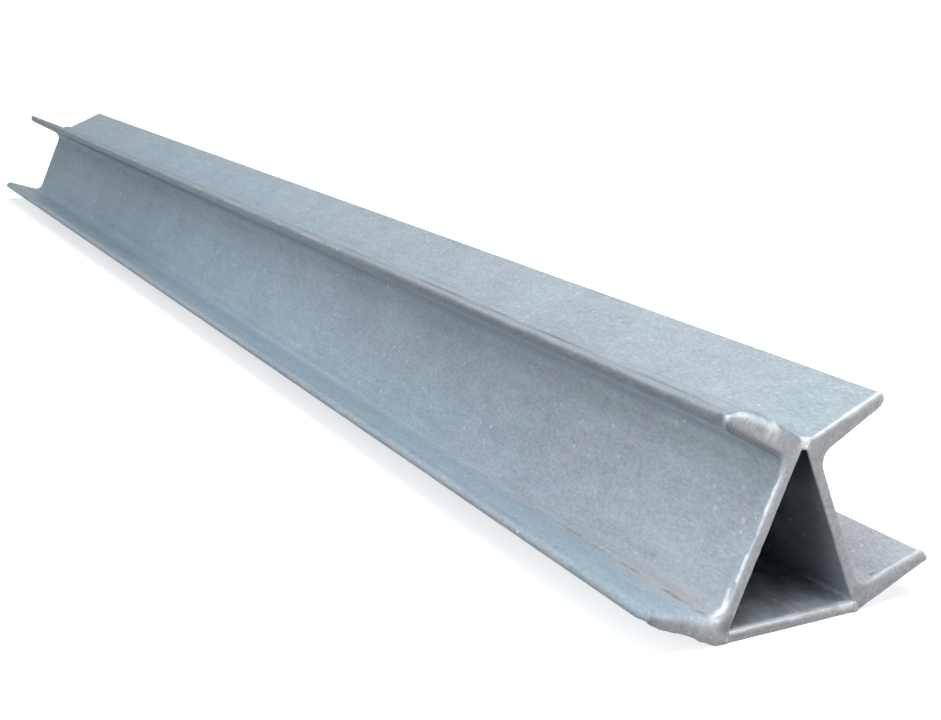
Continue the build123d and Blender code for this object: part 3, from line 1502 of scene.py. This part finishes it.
    def _darken(self, grid: Grid, noise: SmoothNoise) -> None:
        """Paints shade on the back of the web inside the hollow, and under the top flange.

        Args:
            grid: The channel's points.
            noise: Makes the back blotchy.
        """
        spots, layers = grid.spots, grid.layers
        # Painted shade in the hollow: darker higher up and further in, and uneven in blotches.
        back_face = fade(spots.out, 1.6, 0.3) * (grid.rim > 1.5 * MM)
        deep = np.maximum(fade(spots.inward, 0, 45), fade(spots.rise, 60, 85))
        blotch = 0.85 + 0.3 * noise.at(grid.points, 16 * MM)
        gloom = (0.35 + 0.65 * spots.rise * MM / self.section.depth) * (0.6 + 0.4 * deep) * blotch
        layers[Layer.DARK_MARKS_AND_SHADE] += back_face * self.hollow_painted_shade * gloom
        # Painted shade under the top flange, stronger toward the toe.
        recess_painted_shade = (spots.out > self.section.web / MM - 0.1) * fade(spots.rise, 64, 90)
        recess_painted_shade = recess_painted_shade * fade(spots.rise, 98.7, 97)
        toward_toe = 1 + 0.5 * fade(spots.out, 40, 47)
        layers[Layer.DARK_MARKS_AND_SHADE] += recess_painted_shade * self.recess_painted_shade * toward_toe * (1 - layers[Layer.CUT])


@dataclass
class ClosingBar(SteelPiece):
    """The flat bar between the bottom heels."""

    name: str = "closing_bar"
    edge_radius: float = 0.4 * MM
    end_rounding: float = 0.3 * MM
    # How strong the painted shade on the top is.
    top_painted_shade: float = 0.2
    finish: ZincFinish = BAR_ZINC_COAT

    def outline(self) -> np.ndarray:
        """The bar's rounded section in the frame."""
        low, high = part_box(self.name)
        corners = [(low.x, low.z), (high.x, low.z), (high.x, high.z), (low.x, high.z)]
        return rounded_outline([Corner(x, z, self.edge_radius) for x, z in corners], self.step, 3)

    def coat(self, grid: Grid) -> None:
        """Lays the zinc on, with painted shade over the top inside the hollow, uneven in blotches and darker
        further in.

        Args:
            grid: The bar's points, which move and take their values.
        """
        super().coat(grid)
        noise = SmoothNoise(self.seed + 100)
        blotch = noise.at(grid.points, 7 * MM) + 0.6 * noise.at(grid.points, 2.6 * MM)
        top = fade(grid.spots.rise, 5, 5.8) * (grid.rim > 2.2 * MM)
        # Painted shade, deeper further into the hollow.
        deep = fade(grid.spots.inward, 3, 60)
        grid.layers[Layer.DARK_MARKS_AND_SHADE] += top * np.clip(self.top_painted_shade * (1 + 0.9 * blotch) + 0.4 * deep, 0, 0.9)


@dataclass
class WeldBead(SteelPiece):
    """A weld bead, with the blob that its end leaves over the joint.

    Fields:
        spread: How far each end swells over its neighbours.
        near_room: How far the near end's rim stands back, so that its middle makes a dome.
        far_room: The same at the far end.
        blob: The radius in millimetres of the round blob that each end draws into. At 0 the ends keep the
            bead's section.
        blob_place: The blob's middle in millimetres, across the section and up it.
        pitch: From one ripple to the next.
        rise: How deep the ripples are.
        bow: How strongly each ripple bows, in travel along the bead per squared distance across it.
        waver: How far the ripples stray, in pitches.
    """

    near_inset: float = 0.12 * MM
    far_inset: float = 0.12 * MM
    end_rounding: float = 0.25 * MM
    step: float = 0.8 * MM
    finish: ZincFinish = WELD_ZINC
    slot: Slot = Slot.WELD
    spread: float = 1.1 * MM
    near_room: float = 1.0 * MM
    far_room: float = 0.5 * MM
    blob: float = 0.0
    blob_place: tuple[float, float] = (0.0, 0.0)
    pitch: float = 3.2 * MM
    rise: float = 0.35 * MM
    bow: float = 120.0
    waver: float = 1.3

    def grid(self) -> Grid:
        """Draws the bead out along the post, with rings close enough for its ripples."""
        low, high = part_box(self.name)
        near, far = low.y + self.near_inset, high.y - self.far_inset
        count = round((far - near) / (self.pitch / 3.5))
        start = np.linspace(0, 1.1 * MM, 5) / (far - near)
        middle = np.linspace(start[-1], 1 - start[-1], count)
        shares = np.concatenate([start[:-1], middle, 1 - start[-2::-1]])
        return long_piece(self.outline(), near, far, self.end_rounding, shares, 0.8 * MM)

    def ripples(self, grid: Grid) -> np.ndarray:
        """Where the ripples show.

        Args:
            grid: The bead's points.

        Returns:
            A value from 0 to 1 for each point.
        """
        raise NotImplementedError

    def coat(self, grid: Grid) -> None:
        """Lays the zinc on, and swells the ends over the joint.

        Args:
            grid: The bead's points, which move and take their values.
        """
        super().coat(grid)
        noise = SmoothNoise(self.seed + 100)
        swell = fade(grid.rim, 1.15 * MM, 0.85 * MM) * (1 + 0.3 * noise.at(grid.points, 2.2 * MM))
        grid.move(self.spread * swell, grid.sides)
        on_end = np.abs(grid.sides).sum(axis=1) == 0
        if self.blob > 0:
            away = np.column_stack([grid.spots.out, grid.spots.rise]) - np.array(self.blob_place)
            distance = np.maximum(np.linalg.norm(away, axis=1), 0.01)
            to_round = (self.blob - distance) * np.minimum(swell, 1) * ~on_end
            outward = np.column_stack([away[:, 0], np.zeros(len(away)), away[:, 1]]) / distance[:, None]
            grid.move(0.8 * MM * to_round, outward)
        widest = grid.rim[on_end].max()
        domed = np.where(on_end, (1 - grid.rim / widest) ** 2, fade(grid.rim, 4 * MM, 0.0))
        near_half = grid.inward < grid.inward.max() / 2
        room = np.where(near_half, self.near_room, -self.far_room)
        grid.move(domed * room, INTO)
        grid.layers[Layer.BEAD] += self.ripples(grid) * (grid.rim > 4.5 * MM)

    def build(self) -> bpy.types.Object:
        """Builds the bead and works its ripples in.

        Returns:
            The bead's object.
        """
        piece = super().build()
        run_tree(piece, shared("Weld bead ripples", bead_ripple_tree), {
            "Pitch": self.pitch, "Rise": self.rise, "Bow": self.bow, "Waver": self.waver,
            "Seed": float(self.seed), "Material": self.finish.material()})
        return piece


@dataclass
class ApexWeld(WeldBead):
    """The bead in the valley between the top flanges.

    Fields:
        leg: How far it runs out over each flange.
        crown: How far its middle stands over a flat fill.
        root: How far it runs down the backs of the webs.
        sag: How far its underside hangs below its edges.
    """

    name: str = "apex_weld"
    section: Section = SECTION
    leg: float = 4.5 * MM
    crown: float = 0.85 * MM
    root: float = 3.0 * MM
    sag: float = 0.7 * MM
    spread: float = 0.4 * MM
    blob: float = 2.9
    blob_place: tuple[float, float] = (0.2, 92.7)

    def outline(self) -> np.ndarray:
        """The bead's section in the frame, round the rounded heels."""
        sec = self.section
        c, s = math.cos(sec.lean), math.sin(sec.lean)

        def flange(reach: float) -> tuple[float, float]:
            """A point on the right top flange."""
            return sec.heel_gap / 2 + reach * c, sec.apex_height + reach * s

        def back(drop: float) -> tuple[float, float]:
            """A point on the back of the right web."""
            return sec.back_x(sec.apex_height - drop * c), sec.apex_height - drop * c

        right = [back(self.root), back(1.6 * MM), back(0.7 * MM), flange(0.7 * MM), flange(1.6 * MM),
                 flange(3.0 * MM), flange(self.leg)]
        edge_x, edge_z = right[-1]
        crown = [(edge_x * t, edge_z + self.crown * (1 - t * t)) for t in np.linspace(1, -1, 15)[1:-1]]
        left = [(-x, z) for x, z in reversed(right)]
        low_x, low_z = right[0]
        sag = [(low_x * t, low_z - self.sag * (1 - t * t)) for t in (-0.5, 0.0, 0.5)]
        return np.array(right + crown + left + sag)

    def coat(self, grid: Grid) -> None:
        """Lays the zinc on, with the dark, broken line along the bead's left foot, and painted shade that
        grows toward the far end.

        Args:
            grid: The bead's points, which move and take their values.
        """
        spots = grid.spots
        broken = SmoothNoise(self.seed + 200).at(grid.points * np.array([1, 0.15, 1]), 5 * MM)
        foot = fade(-spots.out, 2.5, 3.2) * fade(spots.inward, 8, 20) * fade(spots.inward, 1100, 300)
        super().coat(grid)
        grid.layers[Layer.DARK_MARKS_AND_SHADE] += foot * np.clip(0.07 + 0.5 * broken, 0, 0.42)
        # Painted shade: a little darker all over, more toward the far end.
        grid.layers[Layer.DIM] += 0.05 + 0.07 * fade(spots.inward, 300, 1000)

    def ripples(self, grid: Grid) -> np.ndarray:
        """The ripples show on the bead's crown, and less on its underside."""
        return fade(grid.normals[:, 2], 0.3, 0.7) + 0.4 * fade(grid.normals[:, 2], -0.3, -0.7)


@dataclass
class SeamWeld(WeldBead):
    """The bead between the bar's side and the back of a web."""

    side: Side = Side.RIGHT
    section: Section = SECTION
    rise: float = 0.3 * MM
    spread: float = 1.3 * MM
    name: str = field(default="", init=False)

    def __post_init__(self) -> None:
        """Names the piece after the node that it stands for."""
        self.name = f"{self.side.name.lower()}_seam_weld"

    def outline(self) -> np.ndarray:
        """The bead's three-cornered section in the frame."""
        sec = self.section
        inner = sec.back_x(sec.bar_thickness)
        outer = sec.back_x(0.0) + 0.5 * MM
        corners = [Corner(inner, 0.25 * MM, 0.3 * MM), Corner(outer, 0.35 * MM, 0.3 * MM),
                   Corner(inner, sec.bar_thickness, 0.25 * MM)]
        flat = rounded_outline(corners, self.step, 3)
        placed = flat * np.array([self.side.value, 1])
        return placed if self.side is Side.RIGHT else placed[::-1]

    def section_place(self, points: np.ndarray) -> tuple[np.ndarray, np.ndarray]:
        """Where points are: out from the middle plane, and up."""
        return points[:, 0] * self.side.value, points[:, 2]

    def ripples(self, grid: Grid) -> np.ndarray:
        """The ripples show on the bead's underside."""
        return fade(grid.normals[:, 2], -0.5, -0.9)


@dataclass
class Pimples:
    """Small pimples of zinc scattered over a finished piece."""

    host: bpy.types.Object
    density: float
    seed: int
    smallest: float = 0.22 * MM
    largest: float = 0.62 * MM
    flatness: float = 0.5
    finish: ZincFinish = PIMPLE_ZINC

    def build(self) -> bpy.types.Object:
        """Scatters the pimples.

        Returns:
            Their object.
        """
        piece = bpy.data.objects.new(f"{self.host.name}_pimples", self.host.data.copy())
        bpy.context.scene.collection.objects.link(piece)
        run_tree(piece, shared("Zinc pimples", pimple_tree), {
            "Density": self.density, "Smallest": self.smallest, "Largest": self.largest,
            "Flatness": self.flatness, "Seed": self.seed, "Material": self.finish.material()})
        return piece


@dataclass(frozen=True)
class StudioLight:
    """A soft lamp."""

    name: str
    place: tuple[float, float, float]
    target: tuple[float, float, float]
    size: tuple[float, float]
    power: float
    colour: Colour = (1.0, 1.0, 1.0)

    def build(self) -> bpy.types.Object:
        """Hangs the lamp.

        Returns:
            The lamp's object.
        """
        lamp = bpy.data.lights.new(self.name, "AREA")
        lamp.shape = "RECTANGLE"
        lamp.size, lamp.size_y = self.size
        lamp.energy = self.power
        lamp.color = self.colour
        hung = bpy.data.objects.new(self.name, lamp)
        hung.location = self.place
        hung.rotation_euler = (Vector(self.target) - Vector(self.place)).to_track_quat("-Z", "Y").to_euler()
        bpy.context.scene.collection.objects.link(hung)
        return hung


@dataclass
class Studio:
    """The pale floor, the soft light and the camera.

    Fields:
        eye: Where the camera is.
        look_at: What it looks at.
        roll: How far it is turned about its line of sight.
        lens: Its focal length, in millimetres.
        sensor: The width of its sensor, in millimetres.
        floor_size: The floor's width.
        sky_low: The light of the sky at the horizon.
        sky_high: The light of the sky overhead.
        lights: The lamps.
    """

    eye: tuple[float, float, float] = (-0.43016, -1.23392, 0.29812)
    look_at: tuple[float, float, float] = (-0.0692, -0.5505, 0.0916)
    roll: float = math.radians(0.62)
    lens: float = 55.23
    sensor: float = 36.0
    floor_size: float = 60.0
    sky_low: Colour = (0.05, 0.055, 0.06)
    sky_high: Colour = (0.06, 0.065, 0.07)
    lights: tuple[StudioLight, ...] = (
        StudioLight("Overhead", (-0.1, -0.9, 2.25), (0.0, -0.6, 0.05), (1.5, 1.5), 34.0, (0.94, 1.0, 1.0)),
        StudioLight("High left", (-1.75, -0.9, 1.95), (0.0, -0.45, 0.05), (1.6, 1.6), 18.0,
                    (0.85, 0.92, 1.0)),
        StudioLight("Low left", (-2.3, -0.8, 0.5), (0.0, -0.35, 0.05), (1.4, 0.9), 13.0, (1.0, 1.0, 0.96)),
        StudioLight("Front", (0.9, -2.8, 0.8), (0.0, -0.7, 0.05), (1.4, 1.2), 11.0, (1.0, 0.9, 0.88)),
        StudioLight("Right", (2.3, -1.3, 0.9), (0.0, -0.55, 0.05), (1.4, 1.2), 15.0, (1.0, 0.98, 0.92)),
    )

    def _rays(self, sketch: NodeSketch) -> bpy.types.NodeSocket:
        """Tells the rays that see the background from those that only light the post.

        Args:
            sketch: The tree to work in.

        Returns:
            A socket that is 1 for camera, glossy and transmission rays.
        """
        path = sketch.node("ShaderNodeLightPath")
        seen = sketch.math("MAXIMUM", path.outputs["Is Camera Ray"], path.outputs["Is Glossy Ray"])
        return sketch.math("MAXIMUM", seen, path.outputs["Is Transmission Ray"])

    def build_world(self) -> None:
        """Makes a white background that lights the post with a softer, cooler light."""
        world = bpy.data.worlds.new("Studio")
        world.use_nodes = True
        world.node_tree.nodes.clear()
        sketch = NodeSketch(world.node_tree)
        seen = self._rays(sketch)
        toward = sketch.node("ShaderNodeTexCoord").outputs["Generated"]
        height = sketch.node("ShaderNodeSeparateXYZ", {}, {0: toward}).outputs["Z"]
        light = sketch.blend(sketch.ramp(height, 0.0, 1.0), (*self.sky_low, 1), (*self.sky_high, 1))
        colour = sketch.blend(seen, light, (1, 1, 1, 1))
        background = sketch.node("ShaderNodeBackground", {}, {"Color": colour, "Strength": 1.0})
        output = sketch.node("ShaderNodeOutputWorld")
        world.node_tree.links.new(background.outputs[0], output.inputs["Surface"])
        bpy.context.scene.world = world

    def build_floor(self) -> bpy.types.Object:
        """Lays a pale floor that keeps the post's shadow and goes white further out.

        Returns:
            The floor's object.
        """
        half = self.floor_size / 2
        drop = -0.05 * MM
        mesh = bpy.data.meshes.new("Floor")
        corners = [(x, y, drop) for x, y in ((-half, -half), (half, -half), (half, half), (-half, half))]
        mesh.from_pydata(corners, [], [(0, 1, 2, 3)])
        floor = bpy.data.objects.new("Floor", mesh)
        bpy.context.scene.collection.objects.link(floor)
        paint = bpy.data.materials.new("Pale floor")
        paint.use_nodes = True
        paint.node_tree.nodes.clear()
        sketch = NodeSketch(paint.node_tree)
        seen = self._rays(sketch)
        place = sketch.node("ShaderNodeTexCoord").outputs["Object"]
        distance = sketch.node("ShaderNodeVectorMath", {"operation": "LENGTH"}, {0: place}).outputs["Value"]
        glow = sketch.math("MULTIPLY", seen, sketch.ramp(distance, 0.55, 1.7, 0.6, 1.0))
        colour = sketch.blend(seen, (0.32, 0.32, 0.32, 1), (0.80, 0.80, 0.80, 1))
        diffuse = sketch.node("ShaderNodeBsdfDiffuse", {}, {"Color": colour})
        shine = sketch.node("ShaderNodeEmission", {}, {"Color": (1, 1, 1, 1), "Strength": glow})
        both = sketch.node("ShaderNodeAddShader", {}, {0: diffuse.outputs[0], 1: shine.outputs[0]})
        output = sketch.node("ShaderNodeOutputMaterial")
        paint.node_tree.links.new(both.outputs[0], output.inputs["Surface"])
        mesh.materials.append(paint)
        return floor

    def build_camera(self) -> bpy.types.Object:
        """Sets the camera where the photograph was taken from.

        Returns:
            The camera's object.
        """
        camera = bpy.data.cameras.new("Camera")
        camera.lens = self.lens
        camera.sensor_width = self.sensor
        camera.sensor_fit = "HORIZONTAL"
        camera.clip_end = 200.0
        held = bpy.data.objects.new("Camera", camera)
        aim = (Vector(self.look_at) - Vector(self.eye)).to_track_quat("-Z", "Y").to_matrix().to_4x4()
        held.matrix_world = Matrix.Translation(self.eye) @ aim @ Matrix.Rotation(self.roll, 4, "Z")
        bpy.context.scene.collection.objects.link(held)
        bpy.context.scene.camera = held
        return held

    def build(self) -> None:
        """Builds the whole studio."""
        self.build_world()
        self.build_floor()
        self.build_camera()
        for light in self.lights:
            light.build()


LEFT_ROLL = EndRoll(
    top=SECTION.depth / MM,
    reaches=(0, 2, 5, 13, 20, 30, 38, 43, 46, 47.5, 49),
    crests=(0.6, 1.6, 2.4, 3.3, 4.7, 5.8, 6.2, 5.8, 3.2, 1.6, 0.4),
    depth=9.0,
    foot=7.0,
    brow=1.0,
)
LEFT_WEAR = EndWear(depth=4.2, foot=2.4, start=3, full=15, shade=0.30)
RIGHT_WEAR = EndWear(depth=1.5, foot=4.4, start=10, full=24, shade=0.12)
# Painted light and shade for each channel.
LEFT_PAINTED_SHADING = PaintedShading(
    places=(80, 250, 570, 1090),
    upper=(1.01, 0.93, 1.04, 0.86),
    lower=(1.05, 0.97, 1.12, 0.92),
    crown=0.70,
    toe_near=0.55,
    toe_far=0.75,
    root=1.24,
    root_middle=0.22,
    ledge=1.05,
    edge=0.93,
    rims=0.66,
    far=0.90,
)
RIGHT_PAINTED_SHADING = PaintedShading(crown=1.015, root=1.08, ledge=1.1)
# The shine in these runs is partly a painted highlight: the toe lumps, the lip down the web's end and the
# crescent on the root's end.
LEFT_ZINC = (
    ZincRun((48.3, 99.2, 0.8), (48.3, 99.2, 0.8), 1.6, height=0.6, shine=0.9),
    ZincRun((43.5, 99.0, 0.4), (41.0, 99.4, 0.6), 1.3, height=0.5, shine=0.8),
    ZincRun((21.0, 99.0, 0.3), (18.0, 96.5, 0.3), 1.2, height=0.4, shine=0.5),
    ZincRun((22.6, 96.6, 0.3), (22.6, 96.6, 0.3), 1.0, height=0.7, shine=1.0),
    ZincRun((5.3, 86, 1.2), (5.3, 66, 1.2), 0.8, height=0.6, shine=1.1, unevenness=0.9),
    ZincRun((5.3, 66, 1.2), (5.3, 54, 1.2), 0.7, height=0.4, shine=0.8, unevenness=0.9),
    ZincRun((5.3, 50, 1.2), (5.3, 45, 1.2), 0.6, height=0.3, shine=0.3),
    ZincRun((5.3, 42, 1.4), (5.3, 30, 1.4), 0.7, height=0.5, shine=1.1, unevenness=0.6),
    ZincRun((5.3, 25, 4.2), (5.4, 18, 3.0), 0.8, height=0.6, shine=1.0, unevenness=0.1),
    ZincRun((5.4, 18, 3.0), (6.6, 12.6, 2.2), 1.3, height=0.8, shine=1.3, unevenness=0.1),
    ZincRun((6.6, 12.6, 2.2), (8.4, 9.6, 1.0), 1.2, height=0.7, shine=1.2, unevenness=0.1),
    ZincRun((8.4, 9.6, 1.0), (11.0, 8.0, 0.5), 0.8, height=0.3, shine=0.5, unevenness=0.1),
    ZincRun((49.0, -0.5, 0.5), (49.0, -0.5, 4.0), 2.2, height=-1.7),
    ZincRun((46.5, 4.0, 0.5), (36.3, 4.2, 0.8), 1.6, height=0.6, unevenness=1.0),
    ZincRun((40.0, 0.0, 1.0), (14.0, 0.0, 1.0), 1.6, height=0.5, unevenness=0.8),
    ZincRun((13.0, 0.0, 1.5), (4.0, 0.0, 1.5), 2.6, height=1.3, shine=0.15, unevenness=0.4),
    ZincRun((4.5, 4.0, 0.0), (6.5, 3.0, 0.0), 1.8, height=0.6, shine=0.25, unevenness=0.7),
    ZincRun((11.5, 11.2, 6.0), (11.8, 11.0, 74.0), 4.4, stain=1.2, unevenness=0.5),
    ZincRun((12.5, 10.5, 74.0), (14.5, 10.0, 225.0), 3.6, stain=0.75, unevenness=0.8),
    # A painted glow on the channel's end beside the apex weld's blob.
    ZincRun((0.8, 98.8, 0.0), (0.6, 97.0, 0.0), 1.2, shine=0.7, unevenness=0.2),
)
RIGHT_ZINC = (
    ZincRun((47.0, 99.4, 0.8), (26.0, 99.6, 0.8), 1.2, height=0.5, shine=0.8, unevenness=0.5),
    ZincRun((26.0, 99.6, 0.8), (6.0, 99.6, 0.8), 0.9, height=0.4, shine=0.6, unevenness=0.6),
    ZincRun((48.5, 98.0, 0.8), (48.5, 96.0, 0.8), 1.6, height=0.5, shine=0.7),
    ZincRun((48.2, 5.5, 0.8), (48.2, 1.0, 0.8), 1.2, height=0.4, shine=0.6),
    ZincRun((46.0, 6.6, 0.8), (15.0, 9.6, 0.8), 0.9, height=0.3, shine=0.3, unevenness=0.7),
    ZincRun((17.9, 9.4, 4.6), (17.9, 9.4, 4.6), 0.8, dark_marks_and_shade=0.9),
    ZincRun((20.0, 9.2, 5.0), (19.0, 9.3, 17.0), 0.8, height=0.25, dark_marks_and_shade=0.12, unevenness=0.9),
    ZincRun((0.0, 6.8, 3.0), (0.0, 6.8, 36.0), 0.9, height=0.3, shine=0.8, unevenness=0.6),
    # A painted glow on the channel's end beside the apex weld's blob.
    ZincRun((0.8, 98.8, 0.0), (0.6, 97.0, 0.0), 1.2, shine=0.7, unevenness=0.2),
)
# The bright lines along the bar's top end edge are partly painted highlights.
BAR_ZINC = (
    ZincRun((-36.5, 5.8, 0.4), (0.0, 5.8, 0.4), 1.0, height=0.8, shine=1.7, unevenness=0.35),
    ZincRun((0.0, 5.4, 0.4), (30.0, 5.0, 0.4), 1.5, height=0.6, shine=0.9, unevenness=0.4),
    ZincRun((32.0, 5.6, 0.4), (36.8, 5.4, 0.8), 1.6, height=0.8, shine=2.0, unevenness=0.1),
    ZincRun((-36.0, 1.8, 0.0), (30.0, 1.6, 0.0), 1.5, dark_marks_and_shade=0.2, unevenness=0.5),
    ZincRun((37.2, 6.0, 3.0), (37.2, 6.0, 36.0), 0.9, height=0.3, shine=0.8, unevenness=0.6),
)
# The weld's end blob, whose white is partly a painted highlight.
APEX_ZINC = (
    ZincRun((0.2, 92.7, 0.0), (0.2, 92.7, 1.5), 2.2, height=0.1, shine=1.6, unevenness=0.15),
)
SEAM_ZINC = (
    ZincRun((37.4, 5.4, 0.0), (37.8, 5.0, 0.0), 1.2, height=0.2, shine=0.8),
)


def main() -> None:
    """Builds the post's pieces in order and reports each."""
    logging.basicConfig(level=logging.INFO, format="%(name)s: %(message)s")
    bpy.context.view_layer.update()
    Studio().build()
    steel = [
        Channel(side=Side.RIGHT, zinc=RIGHT_ZINC, wear=RIGHT_WEAR, painted_shading=RIGHT_PAINTED_SHADING, warm=1.0, seed=11),
        Channel(side=Side.LEFT, zinc=LEFT_ZINC, roll=LEFT_ROLL, wear=LEFT_WEAR, painted_shading=LEFT_PAINTED_SHADING,
                blue=0.75, seed=23),
        ClosingBar(zinc=BAR_ZINC, seed=31),
        ApexWeld(zinc=APEX_ZINC, seed=41),
        SeamWeld(side=Side.RIGHT, zinc=SEAM_ZINC, seed=43),
        SeamWeld(side=Side.LEFT, spread=1.8 * MM, seed=47),
    ]
    for part in steel:
        piece = part.build()
        if isinstance(part, Channel):
            pimples = Pimples(piece, density=9000.0, seed=part.seed).build()
            settle(pimples, part.slot)
            LOG.info("%s has %d faces", pimples.name, len(pimples.data.polygons))
        settle(piece, part.slot, part.name)
        LOG.info("%s has %d faces", piece.name, len(piece.data.polygons))
    bpy.context.scene.view_settings.view_transform = "Standard"


if __name__ == "__main__":
    main()
